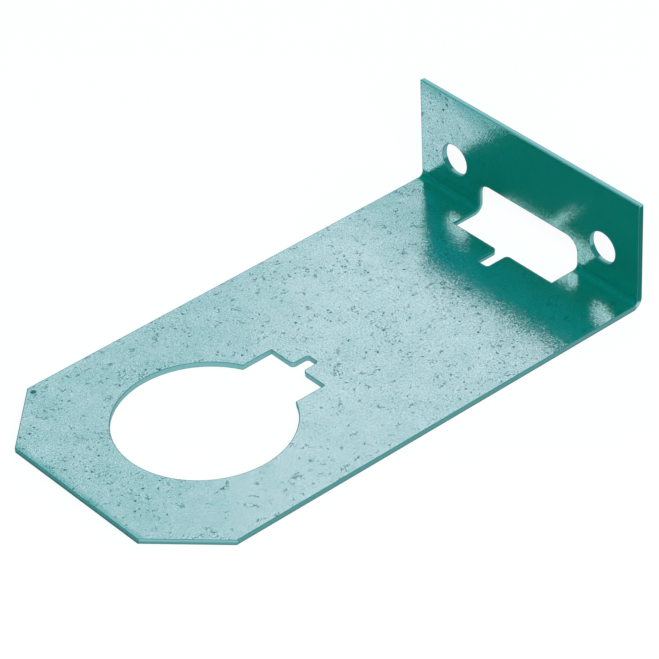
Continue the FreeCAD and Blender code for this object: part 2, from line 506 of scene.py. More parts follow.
    def post_hole(self) -> Outline:
        """The round post hole, its key notch and the small slot in the notch's end."""
        size = self.sizes
        half_gap = math.asin(size.notch_half / size.hole_radius)
        meeting = size.hole_centre + size.hole_radius * math.cos(half_gap)
        end = size.hole_centre + size.notch_reach
        notch = self.chain([
            Corner(meeting, size.notch_half),
            Corner(end, size.notch_half),
            *self.slot(end, end + size.notch_slot),
            Corner(end, -size.notch_half),
            Corner(meeting, -size.notch_half),
        ], closed=False)
        sweep = 2 * (half_gap - math.pi)
        bow = self.arc((size.hole_centre, 0.0), size.hole_radius, -half_gap, sweep)
        return Outline.walked(np.concatenate([notch, bow[1:]]), Loop.HOLE)

    def window(self) -> Outline:
        """The window across the fold, with the small slot in its edge on the plate."""
        size = self.sizes
        edge, wide = size.window_edge, size.window_half
        top = size.up_flange(size.window_height)
        return Outline.walked(self.chain([
            Corner(edge, wide),
            *self.slot(edge, edge - size.window_slot),
            Corner(edge, -wide),
            Corner(top, -wide, size.window_round),
            Corner(top, wide, size.window_round),
        ]), Loop.HOLE)

    def fixing_hole(self, across: float) -> Outline:
        """One round fixing hole in the flange, at its place across the sheet."""
        centre = (self.sizes.up_flange(self.sizes.fixing_height), across)
        return Outline.walked(self.arc(centre, self.sizes.fixing_radius, 0, 2 * math.pi), Loop.HOLE)

    def outlines(self) -> list[Outline]:
        """All the outlines, the rim first."""
        fixings = [self.fixing_hole(sign * self.sizes.fixing_side) for sign in (1, -1)]
        return [self.rim(), self.post_hole(), self.window(), *fixings]

    def inner_points(self, loops: list[np.ndarray]) -> np.ndarray:
        """Grid points inside the metal, closer together along the sheet where it folds.

        Args:
            loops: The lines that bound the face.

        Returns:
            Rows of (along, across).
        """
        size = self.sizes
        plate = np.arange(size.free_end, size.bend_from - self.grid / 2, self.grid)
        flange = np.arange(size.bend_to + self.grid, size.top, self.grid)
        along = np.concatenate([plate, self.bend_rows, flange])
        count = int(round(2 * size.half_width / self.grid))
        across = np.linspace(-size.half_width, size.half_width, count + 1)
        points = np.stack(np.meshgrid(along, across, indexing="ij"), axis=-1).reshape(-1, 2)
        points = points[inside(points, loops)]
        bounds = np.concatenate(loops)
        gaps = np.linalg.norm(points[:, None, :] - bounds[None, :, :], axis=2).min(axis=1)
        return points[gaps > self.step / 2]

    def triangles(self, loops: list[np.ndarray], inner: np.ndarray) -> np.ndarray:
        """Fills a face between its bounding lines, through its inner points.

        Args:
            loops: The lines that bound the face.
            inner: The points inside it.

        Returns:
            Rows of three places in the loops' points followed by the inner ones.
        """
        points = np.concatenate([*loops, inner])
        starts = np.cumsum([0] + [len(loop) for loop in loops])
        sides = [np.stack([np.arange(n), (np.arange(n) + 1) % n], axis=1) + start
                 for n, start in zip(map(len, loops), starts)]
        bounds = np.concatenate(sides).tolist()
        _, _, filled, origins, _, _ = delaunay_2d_cdt((points / MM).tolist(), bounds, [], 0, MERGE, True)
        places = np.array([origin[0] for origin in origins])
        corners = places[np.array(filled)]
        first, second, third = np.moveaxis(points[corners], 1, 0)
        run, rise = second - first, third - first
        double_area = run[:, 0] * rise[:, 1] - run[:, 1] * rise[:, 0]
        solid = inside((first + second + third) / 3, loops) & (double_area > SLIVER)
        return corners[solid]

    def build(self, materials: dict[Finish, bpy.types.Material]) -> bpy.types.Object:
        """Makes the sheet's mesh: the punched walls along each outline, and the two faces.

        Args:
            materials: The material of each finish.

        Returns:
            The sheet's object.
        """
        profile = self.edge.profile(self.sizes.gauge)
        rows = len(profile)
        outlines = self.outlines()
        flats, offsets, depths, faces, finishes = [], [], [], [], []
        rims: dict[Face, list[np.ndarray]] = {Face.INSIDE: [], Face.OUTSIDE: []}
        total = 0
        length = np.concatenate([[0], np.cumsum(np.linalg.norm(np.diff(profile, axis=0), axis=1))])
        for outline in outlines:
            count = len(outline.points)
            flats.extend(outline.inset(distance) for distance in profile[:, 0])
            offsets.append(np.repeat(profile[:, 1], count))
            depths.append(np.repeat(length / length[-1], count))
            index = total + np.arange(rows * count).reshape(rows, count)
            ahead = np.roll(index, -1, axis=1)
            quads = np.stack([index[:-1], index[1:], ahead[1:], ahead[:-1]], axis=-1)
            faces.append(quads.reshape(-1, 4))
            wall_row = np.repeat(np.arange(rows - 1), count)
            is_cut = (wall_row >= self.cut_from) & (wall_row < rows - 2)
            finishes.append(np.where(is_cut, Finish.CUT.value, Finish.ZINC.value))
            rims[Face.INSIDE].append(index[0])
            rims[Face.OUTSIDE].append(index[-1])
            total += rows * count
        for face in Face:
            distance = profile[0 if face is Face.INSIDE else -1, 0]
            loops = [outline.inset(distance) for outline in outlines]
            inner = self.inner_points(loops)
            place = np.concatenate([*rims[face], total + np.arange(len(inner))])
            corners = place[self.triangles(loops, inner)]
            faces.append(corners if face is Face.INSIDE else corners[:, ::-1])
            finishes.append(np.full(len(corners), Finish.ZINC.value))
            flats.append(inner)
            offsets.append(np.full(len(inner), face.value * self.sizes.gauge / 2))
            depths.append(np.full(len(inner), 0.0 if face is Face.INSIDE else 1.0))
            total += len(inner)
        flat, offset = np.concatenate(flats), np.concatenate(offsets)
        mesh = bpy.data.meshes.new("anchor_sheet")
        corner_lists = [row for part in faces for row in part.tolist()]
        mesh.from_pydata(self.fold(flat, offset), [], corner_lists)
        for finish in Finish:
            mesh.materials.append(materials[finish])
        mesh.polygons.foreach_set("material_index", np.concatenate(finishes).astype(np.int32))
        place = mesh.attributes.new(FLAT_PLACE, "FLOAT_VECTOR", "POINT")
        place.data.foreach_set("vector", np.column_stack([flat, offset]).astype(np.float32).ravel())
        depth = mesh.attributes.new(WALL_DEPTH, "FLOAT", "POINT")
        depth.data.foreach_set("value", np.concatenate(depths).astype(np.float32))
        mesh.shade_smooth()
        mesh.set_sharp_from_angle(angle=math.radians(self.crease))
        mesh.validate()
        LOG.info("anchor_sheet: %d points, %d faces", len(mesh.vertices), len(mesh.polygons))
        return add_object("anchor_sheet", mesh)


class Graph:
    """A node tree with short calls for adding and joining nodes.

    Args:
        owner: The material, world or node group that the tree belongs to.
    """

    def __init__(self, owner: bpy.types.ID) -> None:
        """Keeps the owner and its tree."""
        self.owner = owner
        self.tree = owner if isinstance(owner, bpy.types.NodeTree) else owner.node_tree

    @classmethod
    def blank(cls, owner: bpy.types.ID) -> "Graph":
        """Gives a material or a world an empty tree.

        Args:
            owner: The material or world.

        Returns:
            Its graph.
        """
        owner.use_nodes = True
        owner.node_tree.nodes.clear()
        return cls(owner)

    def add(self, kind: str, inputs: dict | None = None, **settings: object) -> bpy.types.Node:
        """Adds a node.

        Args:
            kind: The node's type.
            inputs: Values or sockets for its inputs, by name or number.
            settings: Properties to set on it.

        Returns:
            The node.
        """
        node = self.tree.nodes.new(kind)
        for name, value in settings.items():
            setattr(node, name, value)
        for name, value in (inputs or {}).items():
            self.feed(node.inputs[name], value)
        return node

    def feed(self, socket: Socket, value: object) -> None:
        """Joins a socket to an output, or sets its value."""
        if isinstance(value, Socket):
            self.tree.links.new(value, socket)
        else:
            socket.default_value = value

    def math(self, operation: str, *values: object) -> Socket:
        """Works out one number from others, by a Math node's operation."""
        return self.add("ShaderNodeMath", dict(enumerate(values)), operation=operation).outputs[0]

    def product(self, *values: object) -> Socket:
        """Multiplies numbers."""
        return reduce(partial(self.math, "MULTIPLY"), values)

    def total(self, *values: object) -> Socket:
        """Adds numbers."""
        return reduce(partial(self.math, "ADD"), values)

    def most(self, *values: object) -> Socket:
        """Finds the largest of some numbers."""
        return reduce(partial(self.math, "MAXIMUM"), values)

    def rest(self, value: object) -> Socket:
        """What is left of 1 after a number is taken off."""
        return self.math("SUBTRACT", 1.0, value)

    def ramp(
        self, value: object, low: object, high: object, start: object = 0.0, end: object = 1.0
    ) -> Socket:
        """Eases a number from start to end while its input goes from low to high."""
        inputs = {"Value": value, "From Min": low, "From Max": high, "To Min": start, "To Max": end}
        return self.add("ShaderNodeMapRange", inputs, interpolation_type="SMOOTHSTEP").outputs[0]

    def between(self, share: object, start: float, end: float) -> Socket:
        """Eases a number from start to end while a share goes from 0 to 1."""
        return self.ramp(share, 0.0, 1.0, start, end)

    def noise(self, place: object, size: float, detail: float = 2.0, rough: float = 0.5) -> Socket:
        """A cloudy noise from 0 to 1, its features as wide as its size, with some finer layers."""
        inputs = {"Vector": place, "Scale": 1 / size, "Detail": detail, "Roughness": rough}
        return self.add("ShaderNodeTexNoise", inputs).outputs[0]

    def blend(self, share: object, first: object, second: object) -> Socket:
        """Mixes two colours, by the share of the second one that shows."""
        values = [(*value, 1.0) if isinstance(value, tuple) else value for value in (share, first, second)]
        return self.add("ShaderNodeMix", dict(zip(MIX_INPUTS, values)), data_type="RGBA").outputs[MIX_OUTPUT]

    def vector(self, operation: str, *values: object) -> Socket:
        """Works out one vector from others, by a Vector Math node's operation."""
        return self.add("ShaderNodeVectorMath", dict(enumerate(values)), operation=operation).outputs[0]

    def scaled(self, vector: object, factor: object) -> Socket:
        """A vector or colour times a number."""
        return self.add("ShaderNodeVectorMath", {0: vector, "Scale": factor}, operation="SCALE").outputs[0]

    def measure(self, operation: str, first: object, second: object) -> Socket:
        """Works out one number from two vectors."""
        return self.add("ShaderNodeVectorMath", {0: first, 1: second}, operation=operation).outputs["Value"]

    def bump(self, height: object, depth: float, normal: object = None) -> Socket:
        """Tilts the surface's normal, or the one given, by a height of 0 to 1 times a depth."""
        given = {} if normal is None else {"Normal": normal}
        return self.add("ShaderNodeBump", {"Height": height, "Distance": depth, **given}).outputs[0]


def new_group(
    name: str, inputs: dict[str, str], outputs: dict[str, str]
) -> tuple[Graph, bpy.types.Node, bpy.types.Node]:
    """Makes an empty shader node group.

    Args:
        name: Its name.
        inputs: Its input sockets, name to socket type.
        outputs: Its output sockets, name to socket type.

    Returns:
        Its graph, and its input and output nodes.
    """
    tree = bpy.data.node_groups.new(name, "ShaderNodeTree")
    for in_out, sockets in (("INPUT", inputs), ("OUTPUT", outputs)):
        for label, kind in sockets.items():
            tree.interface.new_socket(label, in_out=in_out, socket_type=kind)
    graph = Graph(tree)
    return graph, graph.add("NodeGroupInput"), graph.add("NodeGroupOutput")


def zinc_film_group(grain: float = 0.05 * MM, edge: float = 0.005) -> bpy.types.NodeTree:
    """A thin film that hides part of the zinc, in grains too fine to see one by one.

    Args:
        grain: Width of the grains.
        edge: How softly each grain ends.

    Returns:
        A group with inputs Place and Cover, and output Film.
    """
    graph, given, result = new_group("zinc_film", {"Place": VECTOR, "Cover": FLOAT}, {"Film": FLOAT})
    grains = graph.noise(given.outputs["Place"], grain, 0.0)
    level = graph.total(grains, given.outputs["Cover"])
    graph.feed(result.inputs["Film"], graph.ramp(level, 1 - edge, 1 + edge))
    return graph.tree


def flecks_group(
    waves: float = 2.5, sway: float = 0.55, core: float = 0.8, least: float = 0.001
) -> bpy.types.NodeTree:
    """Scattered flecks: one to a cell, of uneven size and shape, and some cells have none.

    Args:
        waves: How many waves of a fleck's outline there are to a cell.
        sway: How far the outline wanders, as a share of the spacing.
        core: Share of a fleck's radius that is solid.
        least: Radius in a cell without a fleck, too small to see.

    Returns:
        A group with inputs Place, Spacing, Reach and Share, and output Mask.
    """
    sockets = {"Place": VECTOR, "Spacing": FLOAT, "Reach": FLOAT, "Share": FLOAT}
    graph, given, result = new_group("flecks", sockets, {"Mask": FLOAT})
    place, spacing, reach, share = (given.outputs[name] for name in sockets)
    scale = graph.math("DIVIDE", 1.0, spacing)
    wavy = {"Vector": place, "Scale": graph.product(scale, waves), "Detail": 1.0}
    noise = graph.add("ShaderNodeTexNoise", wavy).outputs["Color"]
    shift = graph.vector("SUBTRACT", noise, MID_COLOUR)
    bent = graph.vector("ADD", place, graph.scaled(shift, graph.product(spacing, sway)))
    cells = graph.add("ShaderNodeTexVoronoi", {"Vector": bent, "Scale": scale}, voronoi_dimensions="2D")
    draw = graph.add("ShaderNodeSeparateColor", {0: cells.outputs["Color"]}).outputs[0]
    size = graph.math("SUBTRACT", graph.total(draw, share), 1.0)
    radius = graph.most(graph.product(size, reach), least)
    dots = graph.ramp(cells.outputs["Distance"], graph.product(radius, core), radius, 1.0, 0.0)
    graph.feed(result.inputs["Mask"], dots)
    return graph.tree


@dataclass(frozen=True)
class Effects:
    """The node groups that the finishes share.

    Args:
        film: The fine film over the zinc.
        flecks: The scattered flecks.
    """

    film: bpy.types.NodeTree
    flecks: bpy.types.NodeTree

    @classmethod
    def make(cls) -> "Effects":
        """Builds the groups."""
        return cls(zinc_film_group(), flecks_group())


@dataclass(frozen=True)
class Fade:
    """An ease from 0 to 1 over the sheet.

    Args:
        way: The measure that it follows.
        start: Where it is 0.
        end: Where it is 1, before the start for a fade that falls.
        slope: How much a step across the sheet adds to the measure.
        ragged: How far its edge wanders.
    """

    way: Way
    start: float
    end: float
    slope: float = 0.0
    ragged: float = 0.0


# A part of the sheet, as the product of its fades.
Patch = tuple[Fade, ...]
ON_FOLD: Patch = (Fade(Way.PAST_PLATE, -1 * MM, 0.0), Fade(Way.PAST_FOLD, 1 * MM, 0.0))


@dataclass(frozen=True)
class Spot:
    """A point of the sheet, as one of its materials reads it.

    Args:
        graph: The material's graph.
        effects: The shared node groups.
        place: Place on the flat sheet, with the offset from the sheet's middle.
        measures: Its measures.
    """

    graph: Graph
    effects: Effects
    place: Socket
    measures: dict[Way, Socket]

    @classmethod
    def read(cls, graph: Graph, effects: Effects, sizes: SheetSizes) -> "Spot":
        """Reads the sheet's attributes into a material.

        Args:
            graph: The material's graph.
            effects: The shared node groups.
            sizes: Sizes of the sheet, which place its lines.

        Returns:
            The spot.
        """
        place = graph.add("ShaderNodeAttribute", attribute_name=FLAT_PLACE).outputs["Vector"]
        depth = graph.add("ShaderNodeAttribute", attribute_name=WALL_DEPTH).outputs["Fac"]
        parts = graph.add("ShaderNodeSeparateXYZ", {0: place}).outputs
        measures = {Way.ALONG: parts["X"], Way.ACROSS: parts["Y"], Way.DEPTH: depth}
        lines = {
            Way.PAST_END: sizes.free_end,
            Way.PAST_PLATE: sizes.bend_from,
            Way.PAST_FOLD: sizes.bend_to,
            Way.PAST_TOP: sizes.top,
        }
        for way, line in lines.items():
            measures[way] = graph.math("SUBTRACT", parts["X"], line)
        return cls(graph, effects, place, measures)

    def ease(self, fade: Fade, start: float = 0.0, end: float = 1.0) -> Socket:
        """Eases a number over the sheet.

        Args:
            fade: Where it eases.
            start: Its value at the fade's start.
            end: Its value at the fade's end.

        Returns:
            The number's socket.
        """
        measure = self.measures[fade.way]
        if fade.slope:
            measure = self.graph.math("MULTIPLY_ADD", self.measures[Way.ACROSS], fade.slope, measure)
        if fade.ragged:
            wander = self.graph.noise(self.place, RAGGED_SIZE)
            measure = self.graph.math("MULTIPLY_ADD", wander, fade.ragged, measure)
        return self.graph.ramp(measure, fade.start, fade.end, start, end)

    def mask(self, patch: Patch) -> Socket:
        """How far the spot lies inside a patch, from 0 to 1."""
        return self.graph.product(*map(self.ease, patch))


@dataclass(frozen=True)
class Flecks:
    """One kind of scattered fleck.

    Args:
        spacing: Distance from fleck to fleck.
        reach: Largest radius, as a share of the spacing.
        strength: How strong they are.
    """

    spacing: float
    reach: float
    strength: float

    def mask(self, spot: Spot, share: object) -> Socket:
        """Scatters the flecks.

        Args:
            spot: Where they are read.
            share: Share of the places that have one.

        Returns:
            Their mask, up to their strength.
        """
        inputs = {"Place": spot.place, "Spacing": self.spacing, "Reach": self.reach, "Share": share}
        dots = spot.graph.add("ShaderNodeGroup", inputs, node_tree=spot.effects.flecks)
        return spot.graph.product(dots.outputs["Mask"], self.strength)


@dataclass(frozen=True)
class Soil:
    """Soil in the coat: a fine grain everywhere, and pits, flecks, specks and strokes in patches.

    The shares and the grain have one value for the cleanest patch and one for the most soiled.
    """

    # Width of the patches, levels of their noise, share of places with a mark, and grain.
    patch_size: float = 14.0 * MM
    patch_span: Span = (0.3, 0.7)
    share: Span = (0.32, 0.78)
    grain: Span = (1.2, 1.8)
    grain_size: float = 0.35 * MM
    # The pits, the flecks and the specks.
    kinds: tuple[Flecks, ...] = (
        Flecks(2.3 * MM, 0.22, 1.0),
        Flecks(1.9 * MM, 0.24, 0.65),
        Flecks(0.7 * MM, 0.38, 0.28),
    )
    # Strength of the strokes, width of their curls, their edge, and the gaps between them.
    stroke: float = 0.6
    stroke_size: float = 1.6 * MM
    stroke_edge: Span = (0.028, 0.042)
    break_size: float = 2.4 * MM
    break_span: Span = (0.60, 0.64)
    # Middle of the cleanest part of the plate, how far it reaches, and its soil.
    calm_place: Place = (-40 * MM, -32 * MM, 0.0)
    calm_reach: Span = (12 * MM, 45 * MM)
    calm_soil: float = 0.5
    # Where the soil grows towards the left front corner, and its strength there.
    front: Fade = Fade(Way.ALONG, 10 * MM, -95 * MM, slope=-1.0)
    front_soil: float = 1.12
    # Where the marks weaken at the fold, and the strength of marks and grain there.
    folded: Fade = Fade(Way.PAST_PLATE, -3 * MM, 0.0)
    fold_marks: float = 0.6
    fold_grain: float = 2.0
    # Place of one dark blot near the free end, and the radius of its core and of the whole.
    blot: Place = (-58.3 * MM, 37.8 * MM, 0.75 * MM)
    blot_reach: Span = (0.5 * MM, 1.0 * MM)
    # Least and greatest soil.
    limits: Span = (-0.15, 1.15)

    def level(self, spot: Spot, deep_shade: Socket) -> Socket:
        """Works out how soiled the coat is.

        Args:
            spot: Where it is read.
            deep_shade: Where shade is painted into the coat, near the fold and up the flange.

        Returns:
            The soil: 1 in a pit, and a little under 0 where the coat is cleaner than most.
        """
        graph = spot.graph
        cleanest, greatest = self.limits
        patches = graph.noise(spot.place, self.patch_size)
        off_calm = graph.measure("DISTANCE", spot.place, self.calm_place)
        calm = graph.ramp(off_calm, *self.calm_reach, self.calm_soil, 1.0)
        strength = graph.product(calm, spot.ease(self.front, 1.0, self.front_soil))
        share = graph.product(graph.ramp(patches, *self.patch_span, *self.share), strength)
        marks = graph.most(self.strokes(spot), *(kind.mask(spot, share) for kind in self.kinds))
        on_fold = graph.product(deep_shade, spot.ease(self.folded))
        marks = graph.product(marks, graph.between(on_fold, 1.0, self.fold_marks))
        off_blot = graph.measure("DISTANCE", spot.place, self.blot)
        marks = graph.most(marks, graph.ramp(off_blot, *self.blot_reach, greatest, 0.0))
        grain = graph.math("SUBTRACT", graph.noise(spot.place, self.grain_size, 2.0, 0.6), 0.5)
        uneven = graph.product(graph.ramp(patches, *self.patch_span, *self.grain), strength)
        uneven = graph.product(uneven, graph.between(deep_shade, 1.0, self.fold_grain))
        soiled = graph.math("MULTIPLY_ADD", grain, uneven, marks)
        return graph.math("MINIMUM", graph.most(soiled, cleanest), greatest)

    def strokes(self, spot: Spot) -> Socket:
        """Draws short curly strokes: the level line of a fine noise, broken up by a coarser one.

        Args:
            spot: Where they are read.

        Returns:
            Their mask, up to their strength.
        """
        graph = spot.graph
        level = graph.math("SUBTRACT", graph.noise(spot.place, self.stroke_size, 1.0), 0.5)
        line = graph.ramp(graph.math("ABSOLUTE", level), *self.stroke_edge, 1.0, 0.0)
        broken = graph.ramp(graph.noise(spot.place, self.break_size, 1.0), *self.break_span)
        return graph.product(line, broken, self.stroke)


@dataclass(frozen=True)
class Drift:
    """A part of the sheet where the film hides more of the zinc than elsewhere.

    Args:
        amount: How much more it hides, or less if negative.
        patch: Where it does so.
    """

    amount: float
    patch: Patch


@dataclass(frozen=True)
class ZincFinish:
    """The zinc coat of the sheet's faces: pale metal, partly hidden by a dark teal film."""

    # Colours of zinc, film and worn rim, then of zinc and film in the painted shade near the fold.
    zinc: Colour = (0.722, 0.838, 0.905)
    shaded_zinc: Colour = (0.60, 0.95, 1.0)
    film: Colour = (0.0, 0.284, 0.276)
    shaded_film: Colour = (0.0, 0.200, 0.136)
    # A lighter painted shade in the fold's corner.
    corner_shaded_film: Colour = (0.0, 0.245, 0.190)
    rim: Colour = (0.03, 0.17, 0.165)
    # Tint of what the coat mirrors at a low angle, and the gloss of its matt part.
    edge_tint: Colour = (0.5, 1.0, 1.0)
    gloss: float = 0.03
    # Share of the zinc that the film hides on the open plate, and the clouds in it.
    cover: float = 0.454
    clouds: float = 0.018
    cloud_size: float = 7.0 * MM
    cloud_span: Span = (0.25, 0.75)
    drifts: tuple[Drift, ...] = (
        # Towards the plate's left front corner and its right side, and towards the fold as painted shade.
        Drift(0.050, (Fade(Way.ALONG, 5.7143 * MM, -48.5714 * MM, slope=-1.02857),)),
        Drift(0.008, (Fade(Way.ACROSS, -12 * MM, -38 * MM),)),
        Drift(0.062, (Fade(Way.PAST_PLATE, -36 * MM, -15 * MM),)),
        # A stain along the free end, and one at the left end of the flange's top.
        Drift(0.10, (Fade(Way.PAST_END, 2.8 * MM, 0.0, ragged=0.5 * MM),)),
        Drift(0.08, (Fade(Way.PAST_TOP, -4.5 * MM, 0.0, ragged=0.5 * MM), Fade(Way.ACROSS, 8 * MM, 36 * MM))),
        # Along the flange's top, left of its middle.
        Drift(0.08, (
            Fade(Way.PAST_TOP, -8 * MM, -3 * MM),
            Fade(Way.ACROSS, 2 * MM, 10 * MM),
            Fade(Way.ACROSS, 32 * MM, 10 * MM),
        )),
        # The flange's left end, where it hides less, a painted light, and the fold itself, a painted shade.
        Drift(-0.014, (Fade(Way.PAST_FOLD, 0.0, 4 * MM), Fade(Way.ACROSS, 26 * MM, 36 * MM))),
        Drift(0.22, ON_FOLD),
    )
    # The rolled rim on an edge's section, and how worn it is along the flange's top.
    rolled: Patch = (Fade(Way.DEPTH, 0.01, 0.035), Fade(Way.DEPTH, 0.95, 0.92))
    near_top: Fade = Fade(Way.PAST_TOP, -2 * MM, -1 * MM)
    top_wear: float = 0.12
    # Where shade is painted into the coat, two left parts left out of it, and the fold's corner.
    shade_near_fold: Fade = Fade(Way.PAST_PLATE, -20 * MM, 0.0)
    left_end: Patch = (
        Fade(Way.PAST_FOLD, 0.0, 6 * MM),
        Fade(Way.PAST_FOLD, 32 * MM, 44 * MM, slope=1.0),
    )
    left_edge: Patch = (Fade(Way.PAST_PLATE, -1 * MM, -4 * MM), Fade(Way.ACROSS, 24 * MM, 34 * MM))
    corner: Patch = (Fade(Way.PAST_PLATE, -6 * MM, -1 * MM), Fade(Way.PAST_FOLD, 8 * MM, 2 * MM))
    # The soil, the film and colour that it adds, and the colour and height that it takes.
    soil: Soil = Soil()
    soil_film: float = 0.030
    soil_colour: Colour = (0.008, 0.090, 0.115)
    soil_shade: float = 0.84
    soil_depth: float = 0.4
    # How much darker the fold itself is painted, a painted shade carried with the soil.
    fold_shade: float = 0.29
    # Roughness of the zinc and of the film, what wear adds, and the film's mirrored share.
    roughness: Span = (0.09, 0.42)
    worn_roughness: float = 0.2
    film_shine: float = 0.3
    # Width and lean of the zinc's crystals, and the lean of the flange, which bows inwards.
    spangle_size: float = 0.22 * MM
    spangle_tilt: float = 0.075
    flange_bow: float = 0.030
    # Width and height of the coat's grains.
    grain_size: float = 0.6 * MM
    grain_depth: float = 0.015 * MM

    def material(self, effects: Effects, sizes: SheetSizes) -> bpy.types.Material:
        """Builds the material.

        Args:
            effects: The shared node groups.
            sizes: Sizes of the sheet, which place its stains.

        Returns:
            The material.
        """
        graph = Graph.blank(bpy.data.materials.new("zinc_coat"))
        spot = Spot.read(graph, effects, sizes)
        # Where shade is painted into the coat, near the fold and up the flange.
        deep_shade = self.painted_shade_zone(spot)
        # The soil, with the painted shade on the fold added to it.
        soil = graph.math("MULTIPLY_ADD", spot.mask(ON_FOLD), self.fold_shade, self.soil.level(spot, deep_shade))
        cover = graph.math("MULTIPLY_ADD", soil, self.soil_film, self.cover_map(spot))
        coat = {"Place": spot.place, "Cover": cover}
        film = graph.add("ShaderNodeGroup", coat, node_tree=effects.film).outputs["Film"]
        worn = graph.product(spot.mask(self.rolled), spot.ease(self.near_top, 1.0, self.top_wear))
        # Zinc and film take the colours of the painted shade where it lies.
        deepest_shade = graph.blend(spot.mask(self.corner), self.shaded_film, self.corner_shaded_film)
        bare = graph.blend(deep_shade, self.zinc, self.shaded_zinc)
        tinted = graph.blend(film, bare, graph.blend(deep_shade, self.film, deepest_shade))
        hid = graph.product(soil, self.soil_shade)
        left = graph.scaled(tinted, graph.rest(hid))
        coated = graph.vector("MULTIPLY_ADD", hid, self.soil_colour, left)
        shine = graph.between(film, 1.0, self.film_shine)
        rough = graph.between(film, *self.roughness)
        grain = graph.noise(spot.place, self.grain_size, 2.0, 0.6)
        height = graph.math("MULTIPLY_ADD", soil, -self.soil_depth, grain)
        shader = graph.add("ShaderNodeBsdfPrincipled", {
            "Base Color": graph.blend(worn, coated, self.rim),
            "Metallic": graph.product(shine, graph.between(worn, 1.0, 0.0)),
            "Roughness": graph.math("MULTIPLY_ADD", worn, self.worn_roughness, rough),
            "Specular IOR Level": self.gloss,
            "Specular Tint": (*self.edge_tint, 1.0),
            "Normal": graph.bump(height, self.grain_depth, self.spangle(spot)),
        })
        graph.add("ShaderNodeOutputMaterial", {"Surface": shader.outputs[0]})
        return graph.owner

    def spangle(self, spot: Spot) -> Socket:
        """Leans each small crystal of the zinc its own way.

        The normal is the surface's own, plus a random lean for each cell and the flange's slight bow,
        made a unit again.

        Args:
            spot: Where the crystals are read.

        Returns:
            The normal's socket.
        """
        graph = spot.graph
        crystals = {"Vector": spot.place, "Scale": 1 / self.spangle_size}
        cells = graph.add("ShaderNodeTexVoronoi", crystals, voronoi_dimensions="2D")
        around = graph.vector("SUBTRACT", cells.outputs["Color"], MID_COLOUR)
        lean = graph.scaled(around, self.spangle_tilt)
        straight = graph.add("ShaderNodeNewGeometry").outputs["Normal"]
        towards = graph.add("ShaderNodeSeparateXYZ", {0: straight}).outputs["X"]
        bow = graph.add("ShaderNodeCombineXYZ", {"Z": graph.product(towards, self.flange_bow)})
        leaning = graph.vector("ADD", graph.vector("ADD", straight, lean), bow.outputs[0])
        return graph.vector("NORMALIZE", leaning)

    def painted_shade_zone(self, spot: Spot) -> Socket:
        """Finds where shade is painted into the coat: at the fold and up the flange, but not its upper left.
        """
        pale = spot.graph.most(spot.mask(self.left_end), spot.mask(self.left_edge))
        return spot.graph.product(spot.ease(self.shade_near_fold), spot.graph.rest(pale))

    def cover_map(self, spot: Spot) -> Socket:
        """Works out how much the film hides from place to place: clouds, drifts and stains.

        Args:
            spot: Where it is read.

        Returns:
            The cover's socket.
        """
        graph = spot.graph
        clouds = graph.noise(spot.place, self.cloud_size, 3.0, 0.6)
        least, greatest = self.cover - self.clouds, self.cover + self.clouds
        drifts = [graph.product(spot.mask(drift.patch), drift.amount) for drift in self.drifts]
        return graph.total(graph.ramp(clouds, *self.cloud_span, least, greatest), *drifts)


@dataclass(frozen=True)
class Wall:
    """The two colours of a punched wall.

    Args:
        upper: Colour beside the inside face.
        lower: Colour beside the outside face.
        turn: Depth where the one gives way to the other, as a share of the wall.
        ease: Half the depth over which it does so.
    """

    upper: Colour
    lower: Colour
    turn: float = 0.40
    ease: float = 0.25

    def shade(self, graph: Graph, depth: Socket) -> Socket:
        """Eases from the upper colour to the lower one down the wall."""
        fall = graph.ramp(depth, self.turn - self.ease, self.turn + self.ease)
        return graph.blend(fall, self.upper, self.lower)


